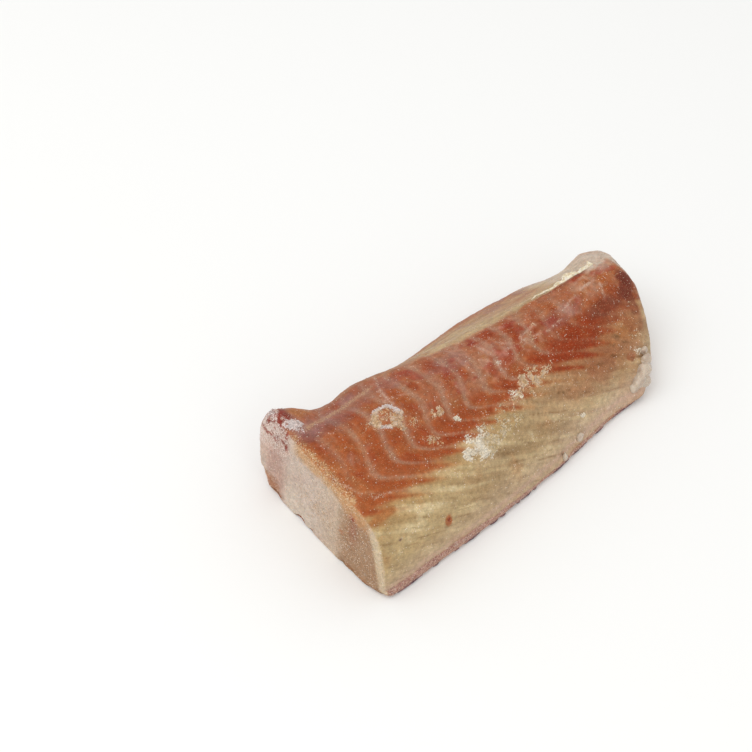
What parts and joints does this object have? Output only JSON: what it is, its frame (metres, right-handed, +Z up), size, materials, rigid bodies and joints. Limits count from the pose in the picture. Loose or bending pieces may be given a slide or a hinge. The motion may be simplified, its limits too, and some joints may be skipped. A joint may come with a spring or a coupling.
{
  "type": "frozen saithe loin",
  "caption": "Frozen skinless loin portion of saithe with a saw-cut near end, a torn far end and a flat underside, reddish lean flesh on top and beige flesh down the back face.",
  "frame": {"origin": "middle of the bounding box of the loin on the flat underside it lies on", "axes": "+X along the loin from the saw cut to the torn far end, +Y across it from the straight back edge to the lateral-line side, +Z up from the underside to the skinned top"},
  "size_m": [0.14, 0.0636, 0.0305],
  "materials": {
    "flesh": "frozen raw fish flesh, slightly translucent, dusted with frost"
  },
  "bodies": {
    "root": {"loin": "flesh"}
  },
  "joints": []
}
